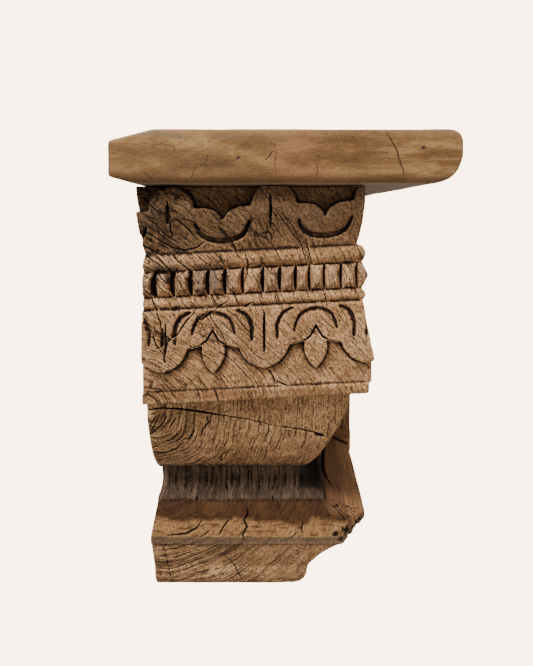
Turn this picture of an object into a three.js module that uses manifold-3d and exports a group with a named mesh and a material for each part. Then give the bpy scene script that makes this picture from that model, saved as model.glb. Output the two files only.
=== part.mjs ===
// An old carved wooden corbel with a small shelf board on top, made to be fixed to a wall.
// Millimetres, +Z up, +X to the right, the front faces -Y. The wall is the plane y = 0 and the
// origin is the middle of the corbel's back face.
import * as THREE from "three";
import { mergeVertices } from "three/addons/utils/BufferGeometryUtils.js";
import Module from "manifold-3d";

const wasm = await Module();
wasm.setup();

// Driving dimensions of the corbel's block.
const corbelDepth = 184;
const sawnSideX = -69;
const wallBlockX = 69;
const wallBlockDepth = 22;

// Heights of the mouldings, from the top down, on the corbel's middle line.
const bellBand = 37.3;
const upperBead = 9.6;
const jewelBand = 15.6;
const lowerBead = 7.1;
const lobeBand = 47.7;
const fillet = 6;
const filletCove = 7.5;
const crease = 4.2;
const ovolo = 48;
const neck = 8.5;
const flareCove = 6.5;
const flareStep = 3;
const flareSlope = 12.5;
const lip = 5.5;
const foot = 37;
const ovoloTuck = 5;
const footRound = 2;
const footHollow = 7;

// How far each moulding stands back from the frontmost plane, on the front.
const front = {
  rim: 3,
  bandFoot: 12,
  bandBelly: 1.5,
  beadCrest: 8,
  beadSeat: 11.5,
  jewelCrest: 7.5,
  lobeFace: 6,
  filletFace: 8.3,
  creaseFace: 19,
  ovoloBelly: 34,
  neckTop: 56,
  neckFoot: 58,
  flareShelf: 45,
  lipFace: 27,
  lobeBrow: 6.5,
  footTop: 29,
  footUnder: 31,
  footWaist: 37,
  footBottom: 52,
};

// The same mouldings on the right-hand return, as distances from the wall block's side.
const side = {
  rim: 9.5,
  bandFoot: 13.5,
  bandBelly: 8,
  beadCrest: 8.5,
  beadSeat: 10.5,
  jewelCrest: 7,
  lobeFace: 0.8,
  filletFace: 6.5,
  creaseFace: 17.5,
  ovoloBelly: 36,
  neckTop: 47,
  neckFoot: 42,
  flareShelf: 30,
  lipFace: 2,
  lobeBrow: 10,
  footTop: 20,
  footUnder: 34,
  footWaist: 41,
  footBottom: 61,
};

// Where the old mouldings run uphill to the right, as rise per millimetre of width.
const driftSlope = 0.05;
const driftMiddleX = -4.6;

// How far the sawn side leans out at the top, and how far down that lean begins.
const sawnLean = 4;
const sawnLeanDrop = 30;

// Carving: the upper band's bells with leaves between them, and the lower band's pendants with buds.
const patternPitch = 59;
const bellMiddleX = 7.4;
const bellHalf = 13;
const bellRise = 12.8;
const bellFootDrop = 11.4;
const leafNotchDrop = 23.2;
const leafSwell = 3;
const crescentHalf = 16.4;
const crescentTopDrop = 18;
const crescentDrop = 31;
const crescentWidth = 3.4;
const bellSlitTop = 4.7;
const bellSlitEnd = 24;
const bellSlitAside = 1.7;
const bellGroundDepth = 7.5;
const pendantMiddleX = 2;
const pendantHalf = 14.5;
const pendantFootDrop = 35.7;
const pendantBelly = 12;
const pendantTip = 2.5;
const lobeDrop = 22.8;
const lobeGroundDepth = 4;
const cuspDrop = 13;
const cuspFlare = 3.5;
const budHalf = 6.7;
const budDrop = 37.5;
const budTuck = 2;
const archHalf = 13.2;
const archTopDrop = 2.7;
const archFootDrop = 18;
const tendrilReach = 19;
const tendrilHalf = 7.2;
const tendrilShoulder = 11;
const tendrilTurnDrop = 12;
const lobeSlitTop = 2.3;
const lobeSlitEnd = 28;
const slitWidth = 1.8;
const grooveWidth = 2.8;
const grooveDepth = 2.4;
const grooveStart = 0.8;
const jewelPitch = 9.8;
const jewelFirstCut = 8;
const jewelCutWidth = 3.8;
const jewelCutDepth = 4.2;

// The broken front corner of the lip, as lengths along the front and along the return.
const brokenFront = 18;
const brokenSide = 31;

// The shelf board.
const boardThickness = 30.5;
const boardOverhang = 6;
const boardLeftX = -84.3;
const boardRightX = 113;
const boardBackTaper = 22;
const boardNoseRadius = 8.5;
const boardFootRadius = 20;
const topBevelLength = 25;
const topBevelDrop = 6.5;
const footBevelLength = 14;
const footBevelRise = 4.2;
const restGap = 0.3;

// Levels from the top down, with z = 0 in the middle of the back face.
const mouldingHeights = [
  bellBand,
  upperBead,
  jewelBand,
  lowerBead,
  lobeBand,
  fillet,
  filletCove,
  crease,
  ovolo,
  neck,
  flareCove,
  flareStep,
  flareSlope,
  lip,
  foot,
];
const corbelHeight = mouldingHeights.reduce((sum, height) => sum + height, 0);
const topZ = corbelHeight / 2;
const levels = [topZ];
for (const height of mouldingHeights) levels.push(levels.at(-1) - height);
const [
  rimZ,
  upperBeadZ,
  jewelZ,
  lowerBeadZ,
  lobeZ,
  filletZ,
  filletCoveZ,
  creaseZ,
  ovoloZ,
  neckZ,
  flareCoveZ,
  flareStepZ,
  flareSlopeZ,
  lipZ,
  footZ,
  bottomZ,
] = levels;
const frontY = -corbelDepth;

const curveSteps = 6;
const past = 5;
const overlap = 0.01;
const topSpare = driftSlope * (wallBlockX - sawnSideX) + 1;

// Local axes of a prism: across and up lie in its outline, and it is pushed out along the third.
const acrossFront = new THREE.Matrix4().makeBasis(
  new THREE.Vector3(1, 0, 0),
  new THREE.Vector3(0, 0, 1),
  new THREE.Vector3(0, -1, 0),
);
const acrossSide = new THREE.Matrix4().makeBasis(
  new THREE.Vector3(0, 1, 0),
  new THREE.Vector3(0, 0, 1),
  new THREE.Vector3(1, 0, 0),
);

function toSolid(geometry) {
  geometry.deleteAttribute("normal");
  geometry.deleteAttribute("uv");
  const merged = mergeVertices(geometry, 1e-4);
  return new wasm.Manifold(
    new wasm.Mesh({
      numProp: 3,
      vertProperties: merged.attributes.position.array,
      triVerts: new Uint32Array(merged.index.array),
    }),
  );
}

function toGeometry(solid) {
  const { vertProperties, triVerts } = solid.getMesh();
  const geometry = new THREE.BufferGeometry();
  geometry.setAttribute("position", new THREE.BufferAttribute(vertProperties, 3));
  geometry.setIndex(new THREE.BufferAttribute(triVerts, 1));
  return geometry;
}

// A prism from an outline: start and length are measured along the direction it is pushed out.
// Its floor can lean, by lean millimetres for each millimetre above the pivot's level.
function prism(shape, axes, start, length, lean = 0, pivot = 0) {
  const geometry = new THREE.ExtrudeGeometry(shape, {
    depth: length,
    bevelEnabled: false,
    curveSegments: curveSteps,
  });
  geometry.translate(0, -pivot, start);
  geometry.applyMatrix4(new THREE.Matrix4().makeShear(0, 0, 0, lean, 0, 0));
  geometry.translate(0, pivot, 0);
  geometry.applyMatrix4(axes);
  return toSolid(geometry);
}

function box(x0, x1, y0, y1, z0, z1) {
  const geometry = new THREE.BoxGeometry(x1 - x0, y1 - y0, z1 - z0);
  geometry.translate((x0 + x1) / 2, (y0 + y1) / 2, (z0 + z1) / 2);
  return toSolid(geometry);
}

// How far the bell band's face stands back at a drop below the shelf.
function bandSetBack(setBack, drop) {
  const t = drop / bellBand;
  return (1 - t) ** 2 * setBack.rim + 2 * t * (1 - t) * setBack.bandBelly + t ** 2 * setBack.bandFoot;
}

// The run of mouldings as an outline: at() turns a set-back into the outline's own coordinate.
// Its back edge goes up from the first point given, and ends above the top.
function mouldingOutline(setBack, at, backEdge) {
  const outline = new THREE.Shape();
  const curve = (bellyBack, bellyZ, endBack, endZ) =>
    outline.quadraticCurveTo(at(bellyBack), bellyZ, at(endBack), endZ);
  const straight = (back, z) => outline.lineTo(at(back), z);
  const bead = (crest, seat, fromZ, toZ) => {
    straight(seat, fromZ);
    curve(2 * crest - seat, (fromZ + toZ) / 2, seat, toZ);
  };
  outline.moveTo(...backEdge.at(-1));
  straight(setBack.rim, rimZ + topSpare);
  straight(setBack.rim, rimZ);
  curve(setBack.bandBelly, (rimZ + upperBeadZ) / 2, setBack.bandFoot, upperBeadZ);
  bead(setBack.beadCrest, setBack.beadSeat, upperBeadZ, jewelZ);
  straight(setBack.jewelCrest, (jewelZ + lowerBeadZ) / 2);
  straight(setBack.beadSeat, lowerBeadZ);
  bead(setBack.beadCrest, setBack.beadSeat, lowerBeadZ, lobeZ);
  straight(setBack.lobeBrow, lobeZ);
  straight(setBack.lobeFace, filletZ);
  straight(setBack.filletFace, filletZ);
  straight(setBack.filletFace, filletCoveZ);
  curve(setBack.creaseFace, filletCoveZ, setBack.creaseFace, creaseZ);
  straight(setBack.creaseFace, ovoloZ);
  curve(setBack.ovoloBelly, neckZ + ovoloTuck, setBack.neckTop, neckZ);
  straight(setBack.neckFoot, flareCoveZ);
  curve(setBack.neckFoot, flareStepZ, setBack.flareShelf, flareStepZ);
  straight(setBack.flareShelf, flareSlopeZ);
  straight(setBack.lipFace, lipZ);
  straight(setBack.lipFace, footZ);
  straight(setBack.footTop, footZ);
  curve(setBack.footUnder, footZ - footHollow, setBack.footWaist, (footZ + bottomZ) / 2);
  curve(setBack.footWaist, bottomZ + footRound, setBack.footBottom, bottomZ);
  for (const point of backEdge.slice(0, -1)) outline.lineTo(...point);
  return outline;
}

// A narrow pointed groove that follows a curve, as an outline.
function grooveOutline(curve, width, steps) {
  const near = [];
  const far = [];
  for (let i = 1; i < steps; i++) {
    const t = i / steps;
    const point = curve.getPoint(t);
    const tangent = curve.getTangent(t);
    const half = (width / 2) * Math.sin(Math.PI * t) ** 0.5;
    near.push(new THREE.Vector2(point.x - tangent.y * half, point.y + tangent.x * half));
    far.unshift(new THREE.Vector2(point.x + tangent.y * half, point.y - tangent.x * half));
  }
  return new THREE.Shape([curve.getPoint(0), ...near, curve.getPoint(1), ...far]);
}

// A groove's middle line through points given as distances from a middle line and as levels.
function line(middle, points) {
  return new THREE.SplineCurve(points.map(([x, z]) => new THREE.Vector2(middle + x, z)));
}

function slit(middle, from, to) {
  return new THREE.LineCurve(new THREE.Vector2(middle, from), new THREE.Vector2(middle, to));
}

// One bell of the upper band with half a leaf on each side of it. The leaves meet the next
// bell's leaves in a notch, and everything above this outline is sunk ground.
function bell(middle) {
  const half = patternPitch / 2 + overlap;
  const footZLevel = topZ - bellFootDrop;
  const notchZ = topZ - leafNotchDrop;
  const shape = new THREE.Shape();
  shape.moveTo(middle - half, upperBeadZ - past);
  shape.lineTo(middle - half, notchZ);
  shape.quadraticCurveTo(middle - half, footZLevel, middle - bellHalf - leafSwell, footZLevel);
  shape.lineTo(middle - bellHalf, footZLevel);
  shape.absellipse(middle, footZLevel, bellHalf, bellRise, Math.PI, 0, true);
  shape.lineTo(middle + bellHalf + leafSwell, footZLevel);
  shape.quadraticCurveTo(middle + half, footZLevel, middle + half, notchZ);
  shape.lineTo(middle + half, upperBeadZ - past);
  return shape;
}

function bellGrooves(middle) {
  const crescentMiddle = topZ - (crescentTopDrop + 3 * crescentDrop) / 4;
  const crescent = line(middle + patternPitch / 2, [
    [-crescentHalf, topZ - crescentTopDrop],
    [-crescentHalf * Math.SQRT1_2, crescentMiddle],
    [0, topZ - crescentDrop],
    [crescentHalf * Math.SQRT1_2, crescentMiddle],
    [crescentHalf, topZ - crescentTopDrop],
  ]);
  const vein = slit(middle - bellSlitAside, topZ - bellSlitTop, topZ - bellSlitEnd);
  return [
    [grooveOutline(crescent, crescentWidth, 2 * curveSteps), crescentTopDrop, crescentDrop],
    [grooveOutline(vein, slitWidth, curveSteps), bellSlitTop, bellSlitEnd],
  ];
}

// One pendant of the lower band with half a leaf on each side, which rise to a cusp between
// two pendants. Everything below this outline is sunk ground.
function pendant(middle) {
  const half = patternPitch / 2 + overlap;
  const top = lobeZ + past;
  const stepZ = lobeZ - lobeDrop;
  const cuspZ = lobeZ - cuspDrop;
  const tipZ = lobeZ - pendantFootDrop;
  const shape = new THREE.Shape();
  shape.moveTo(middle - half, top);
  shape.lineTo(middle - half, cuspZ);
  shape.quadraticCurveTo(middle - half + cuspFlare, stepZ, middle - pendantHalf, stepZ);
  shape.quadraticCurveTo(middle - pendantBelly, tipZ + pendantTip, middle, tipZ);
  shape.quadraticCurveTo(middle + pendantBelly, tipZ + pendantTip, middle + pendantHalf, stepZ);
  shape.quadraticCurveTo(middle + half - cuspFlare, stepZ, middle + half, cuspZ);
  shape.lineTo(middle + half, top);
  return shape;
}

// The pointed bud that hangs from the cusp between two pendants.
function bud(middle) {
  const top = lobeZ - cuspDrop + budTuck / 2;
  const bottom = lobeZ - budDrop;
  const shape = new THREE.Shape();
  shape.moveTo(middle, top);
  shape.quadraticCurveTo(middle - 2 * budHalf, (top + bottom) / 2, middle, bottom);
  shape.quadraticCurveTo(middle + 2 * budHalf, (top + bottom) / 2, middle, top);
  return shape;
}

function pendantGrooves(middle) {
  const archShoulder = lobeZ - (3 * archTopDrop + archFootDrop) / 4;
  const arch = line(middle + patternPitch / 2, [
    [-archHalf, lobeZ - archFootDrop],
    [-archHalf * Math.SQRT1_2, archShoulder],
    [0, lobeZ - archTopDrop],
    [archHalf * Math.SQRT1_2, archShoulder],
    [archHalf, lobeZ - archFootDrop],
  ]);
  const tendrils = [-1, 1].map((hand) =>
    line(middle, [
      [hand * tendrilReach, lobeZ - grooveStart],
      [hand * tendrilShoulder, lobeZ - tendrilTurnDrop / 3],
      [hand * tendrilHalf, lobeZ - tendrilTurnDrop],
      [hand * (tendrilHalf + grooveStart), lobeZ - lobeDrop],
    ]),
  );
  return [
    grooveOutline(arch, grooveWidth, 2 * curveSteps),
    ...tendrils.map((curve) => grooveOutline(curve, grooveWidth, curveSteps)),
    grooveOutline(slit(middle, lobeZ - lobeSlitTop, lobeZ - lobeSlitEnd), slitWidth, curveSteps),
  ];
}

// The sunk ground of a band: a strip of the face less the motifs that are left standing.
function sunkGround(from, to, bottom, top, motifs, axes, depth, reach) {
  const strip = new THREE.Shape([
    new THREE.Vector2(from, bottom),
    new THREE.Vector2(to, bottom),
    new THREE.Vector2(to, top),
    new THREE.Vector2(from, top),
  ]);
  let ground = prism(strip, axes, depth, reach);
  for (const motif of motifs) {
    ground = ground.subtract(prism(motif, axes, depth - past, reach + 2 * past));
  }
  return ground;
}

// Everything that is carved out of one face, for a face that runs from one end to the other.
// Reach is how far the frontmost plane stands from the axes' origin.
function carving(from, to, bellMiddle, pendantMiddle, faces, axes, reach) {
  const firstCopy = Math.floor((from - Math.max(bellMiddle, pendantMiddle)) / patternPitch) - 1;
  const lastCopy = Math.ceil((to - Math.min(bellMiddle, pendantMiddle)) / patternPitch) + 1;
  const bandDepth = reach - (faces.rim + bellGroundDepth);
  const lobeDepth = reach - (faces.lobeFace + lobeGroundDepth);
  const lobeSkin = reach - ((faces.lobeFace + faces.lobeBrow) / 2 + grooveDepth);
  const bells = [];
  const pendants = [];
  const grooves = [];
  for (let copy = firstCopy; copy <= lastCopy; copy++) {
    const bellAt = bellMiddle + copy * patternPitch;
    const pendantAt = pendantMiddle + copy * patternPitch;
    bells.push(bell(bellAt));
    pendants.push(pendant(pendantAt), bud(pendantAt + patternPitch / 2));
    for (const [shape, upperDrop, lowerDrop] of bellGrooves(bellAt)) {
      const upper = bandSetBack(faces, upperDrop);
      const lower = bandSetBack(faces, lowerDrop);
      const floor = reach - ((upper + lower) / 2 + grooveDepth);
      const lean = (lower - upper) / (lowerDrop - upperDrop);
      const pivot = topZ - (upperDrop + lowerDrop) / 2;
      grooves.push(prism(shape, axes, floor, reach, lean, pivot));
    }
    for (const shape of pendantGrooves(pendantAt)) {
      grooves.push(prism(shape, axes, lobeSkin, reach));
    }
  }
  return [
    ...grooves,
    sunkGround(from, to, topZ - leafNotchDrop, topZ + topSpare, bells, axes, bandDepth, reach),
    sunkGround(from, to, filletZ, lobeZ - cuspDrop + budTuck, pendants, axes, lobeDepth, reach),
  ];
}

// The slits between the jewels: wedges that run down the band, deepest at their middle line.
function jewelCuts(from, to, onFace, alongAxis) {
  const cuts = [];
  for (let at = from; at < to; at += jewelPitch) {
    const wedge = new THREE.Shape([
      new THREE.Vector2(-jewelCutWidth / 2, 0),
      new THREE.Vector2(0, -jewelCutDepth),
      new THREE.Vector2(jewelCutWidth / 2, 0),
      new THREE.Vector2(jewelCutWidth / 2, past),
      new THREE.Vector2(-jewelCutWidth / 2, past),
    ]);
    const geometry = new THREE.ExtrudeGeometry(wedge, { depth: jewelBand, bevelEnabled: false });
    geometry.translate(0, 0, lowerBeadZ);
    geometry.rotateZ(alongAxis);
    geometry.translate(...onFace(at));
    cuts.push(toSolid(geometry));
  }
  return cuts;
}

// The old mouldings climb to the right, and level out again below the neck.
function drift(geometry) {
  const position = geometry.attributes.position;
  for (let i = 0; i < position.count; i++) {
    const z = position.getZ(i);
    const aboveNeck = THREE.MathUtils.smoothstep(z, flareCoveZ, ovoloZ);
    const rise = driftSlope * (position.getX(i) - driftMiddleX) * aboveNeck;
    position.setZ(i, z + rise);
  }
  return geometry;
}

function makeCorbel() {
  const frontOutline = mouldingOutline(front, (back) => frontY + back, [
    [0, bottomZ],
    [0, topZ + topSpare],
  ]);
  const sideOutline = mouldingOutline(side, (back) => wallBlockX - back, [
    [sawnSideX, bottomZ],
    [sawnSideX, topZ - sawnLeanDrop],
    [sawnSideX - sawnLean * (1 + topSpare / sawnLeanDrop), topZ + topSpare],
  ]);
  const leftmostX = sawnSideX - past - sawnLean;
  const frontRun = prism(frontOutline, acrossSide, leftmostX, wallBlockX - leftmostX);
  const sideRun = prism(sideOutline, acrossFront, 0, corbelDepth + past);
  const wallBlock = box(sawnSideX, wallBlockX, -wallBlockDepth, 0, footZ, topZ);
  const wedge = new THREE.Shape([
    new THREE.Vector2(wallBlockX - side.lipFace - brokenFront, frontY + front.lipFace),
    new THREE.Vector2(wallBlockX - side.lipFace - brokenFront, frontY),
    new THREE.Vector2(wallBlockX, frontY),
    new THREE.Vector2(wallBlockX, frontY + front.lipFace + brokenSide),
    new THREE.Vector2(wallBlockX - side.lipFace, frontY + front.lipFace + brokenSide),
  ]);
  const brokenCorner = new THREE.ExtrudeGeometry(wedge, {
    depth: flareSlopeZ - footZ + 1,
    bevelEnabled: false,
  });
  brokenCorner.translate(0, 0, footZ - 1);
  const returnEnd = -wallBlockDepth;
  const cornerX = wallBlockX - side.lobeFace;
  const bellCopies = Math.ceil((cornerX - bellMiddleX) / patternPitch);
  const bellCornerX = bellMiddleX + bellCopies * patternPitch;
  const frontCuts = [
    ...carving(leftmostX, wallBlockX, bellMiddleX, pendantMiddleX, front, acrossFront, corbelDepth),
    ...jewelCuts(
      sawnSideX + jewelFirstCut,
      cornerX,
      (at) => [at, frontY + front.jewelCrest, 0],
      Math.PI,
    ),
  ];
  const sideCuts = [
    ...carving(
      frontY,
      returnEnd,
      frontY + front.lobeFace + (cornerX - bellCornerX),
      frontY + front.lobeFace,
      side,
      acrossSide,
      wallBlockX,
    ),
    ...jewelCuts(
      frontY + front.jewelCrest + jewelPitch,
      returnEnd,
      (at) => [wallBlockX - side.jewelCrest, at, 0],
      -Math.PI / 2,
    ),
  ];
  const carved = wasm.Manifold.difference([
    frontRun.intersect(sideRun),
    ...frontCuts,
    ...sideCuts,
    toSolid(brokenCorner),
  ]);
  const drifted = toSolid(drift(toGeometry(carved)));
  const underShelf = box(leftmostX, wallBlockX + past, frontY - past, past, bottomZ - past, topZ);
  return toGeometry(drifted.intersect(underShelf).add(wallBlock));
}

// The board's outline as seen from the front: bevelled to the left, a round nose to the right.
function makeBoard() {
  const bottom = topZ + restGap;
  const top = bottom + boardThickness;
  const shape = new THREE.Shape();
  shape.moveTo(boardLeftX + footBevelLength, bottom);
  shape.lineTo(boardRightX - boardFootRadius, bottom);
  shape.quadraticCurveTo(boardRightX, bottom, boardRightX, bottom + boardFootRadius);
  shape.lineTo(boardRightX, top - boardNoseRadius);
  shape.quadraticCurveTo(boardRightX, top, boardRightX - boardNoseRadius, top);
  shape.lineTo(boardLeftX + topBevelLength, top);
  shape.lineTo(boardLeftX, top - topBevelDrop);
  shape.lineTo(boardLeftX, bottom + footBevelRise);
  const geometry = new THREE.ExtrudeGeometry(shape, {
    depth: corbelDepth + boardOverhang,
    bevelEnabled: false,
    curveSegments: curveSteps,
  });
  geometry.applyMatrix4(acrossFront);
  const position = geometry.attributes.position;
  for (let i = 0; i < position.count; i++) {
    const atRightEnd = position.getX(i) > boardRightX - boardFootRadius - 1;
    const atWall = position.getY(i) > -1;
    if (atRightEnd && atWall) position.setX(i, position.getX(i) - boardBackTaper);
  }
  return geometry;
}

const corbel = new THREE.Mesh(
  makeCorbel(),
  new THREE.MeshStandardMaterial({ color: 0x84603f, roughness: 0.85, metalness: 0 }),
);
corbel.name = "corbel";

const shelfBoard = new THREE.Mesh(
  makeBoard(),
  new THREE.MeshStandardMaterial({ color: 0x906a48, roughness: 0.75, metalness: 0 }),
);
shelfBoard.name = "shelf_board";

const corbelShelf = new THREE.Group();
corbelShelf.add(corbel, shelfBoard);

export default corbelShelf;
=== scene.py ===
# An old carved wooden corbel with a plank on top, used as a small wall shelf.
import math

import bmesh
import bpy
import numpy as np
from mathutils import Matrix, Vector


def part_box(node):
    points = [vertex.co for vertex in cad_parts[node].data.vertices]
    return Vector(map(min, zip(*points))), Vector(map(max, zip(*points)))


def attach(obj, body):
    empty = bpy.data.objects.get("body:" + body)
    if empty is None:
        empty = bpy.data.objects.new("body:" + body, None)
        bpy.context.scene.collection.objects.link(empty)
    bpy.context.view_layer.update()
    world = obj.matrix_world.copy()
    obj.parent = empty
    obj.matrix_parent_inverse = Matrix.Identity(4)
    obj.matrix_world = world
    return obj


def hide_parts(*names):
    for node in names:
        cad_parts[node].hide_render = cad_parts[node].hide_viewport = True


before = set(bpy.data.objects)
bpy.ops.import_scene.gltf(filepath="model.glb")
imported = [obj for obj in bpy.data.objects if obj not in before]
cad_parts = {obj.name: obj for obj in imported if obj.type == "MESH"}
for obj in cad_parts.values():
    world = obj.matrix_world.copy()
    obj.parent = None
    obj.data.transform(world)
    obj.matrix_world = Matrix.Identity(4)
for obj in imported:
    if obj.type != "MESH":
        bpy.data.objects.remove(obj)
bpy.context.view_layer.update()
MM = 0.001

# The corbel is one block of an old post, carved with its end grain to the front and sawn flat
# on the left. Weather has opened its growth rings into dark cracks, worn the carving's edges
# round and torn the grain in the waist.
CORBEL_VOXEL = 0.66 * MM
CORBEL_TRIANGLES = 190000
WORN_PASSES = 3
corbel_low, corbel_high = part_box("corbel")
CORBEL_FRONT = corbel_low.y
CORBEL_TOP = corbel_high.z


def copy_of_node(node, name):
    """A merged copy of a CAD node's mesh as a new object."""
    shape = bmesh.new()
    shape.from_mesh(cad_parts[node].data)
    bmesh.ops.remove_doubles(shape, verts=shape.verts[:], dist=1e-6)
    mesh = bpy.data.meshes.new(name)
    shape.to_mesh(mesh)
    shape.free()
    piece = bpy.data.objects.new(name, mesh)
    bpy.context.scene.collection.objects.link(piece)
    return piece


def apply_modifier(piece, kind, **settings):
    """Adds one modifier and bakes it into the piece's mesh at once."""
    modifier = piece.modifiers.new(kind.title(), kind)
    for key, value in settings.items():
        setattr(modifier, key, value)
    graph = bpy.context.evaluated_depsgraph_get()
    made = bpy.data.meshes.new_from_object(piece.evaluated_get(graph))
    old = piece.data
    piece.modifiers.clear()
    piece.data = made
    bpy.data.meshes.remove(old)


def places_of(piece):
    places = np.empty(len(piece.data.vertices) * 3)
    piece.data.vertices.foreach_get("co", places)
    return places.reshape(-1, 3)


def put_places(piece, places):
    piece.data.vertices.foreach_set("co", places.astype(np.float32).ravel())
    piece.data.update()


def normals_of(piece):
    normals = np.empty(len(piece.data.vertices) * 3, dtype=np.float32)
    piece.data.vertex_normals.foreach_get("vector", normals)
    return normals.reshape(-1, 3).astype(float)


def edges_of(piece):
    ends = np.empty(len(piece.data.edges) * 2, dtype=np.int32)
    piece.data.edges.foreach_get("vertices", ends)
    return ends.reshape(-1, 2)


def averaged(values, ends, count):
    """Each vertex's mean over its neighbours."""
    total = np.zeros_like(values)
    for axis in range(values.shape[1]):
        total[:, axis] = np.bincount(ends[:, 0], values[ends[:, 1], axis], len(values))
        total[:, axis] += np.bincount(ends[:, 1], values[ends[:, 0], axis], len(values))
    return total / count[:, None]


def relaxed(values, ends, passes, share=0.5):
    count = np.bincount(ends.ravel(), minlength=len(values)).clip(1)
    for _ in range(passes):
        values = values + share * (averaged(values, ends, count) - values)
    return values


class Grain:
    """Smooth seeded noise from -1 to 1 on a repeating lattice."""

    SIDE = 48

    def __init__(self, seed):
        self.lattice = np.random.default_rng(seed).uniform(-1, 1, (self.SIDE,) * 3)

    def __call__(self, x, y, z):
        cells = [np.floor(v).astype(int) for v in (x, y, z)]
        parts = [v - c for v, c in zip((x, y, z), cells)]
        parts = [p * p * (3 - 2 * p) for p in parts]
        total = 0
        for corner in range(8):
            steps = [(corner >> axis) & 1 for axis in range(3)]
            share = 1
            for part, step in zip(parts, steps):
                share = share * (part if step else 1 - part)
            at = tuple((cell + step) % self.SIDE for cell, step in zip(cells, steps))
            total = total + share * self.lattice[at]
        return total

    def rough(self, x, y, z, octaves):
        total, size = 0, 1
        for octave in range(octaves):
            shift = 7.3 * octave
            total = total + size * self(x * 2**octave + shift, y * 2**octave + shift, z * 2**octave)
            size = size / 2
        return total / (2 - 2 * size)


def smooth(low, high, values):
    t = np.clip((values - low) / (high - low), 0, 1)
    return t * t * (3 - 2 * t)


# Growth rings are flattened circles round a pith line that runs from front to back, near the
# sawn side. The pith leans away to the left towards the top.
PITH_X = -66 * MM
PITH_Z = -3 * MM
PITH_LEAN = -32 * MM
PITH_LEAN_FROM = 4 * MM
PITH_LEAN_TO = 62 * MM
RING_FLATTEN = 0.8

corbel = copy_of_node("corbel", "carved_corbel")
apply_modifier(corbel, "REMESH", mode="VOXEL", voxel_size=CORBEL_VOXEL, adaptivity=0)
put_places(corbel, relaxed(places_of(corbel), edges_of(corbel), WORN_PASSES))


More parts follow.
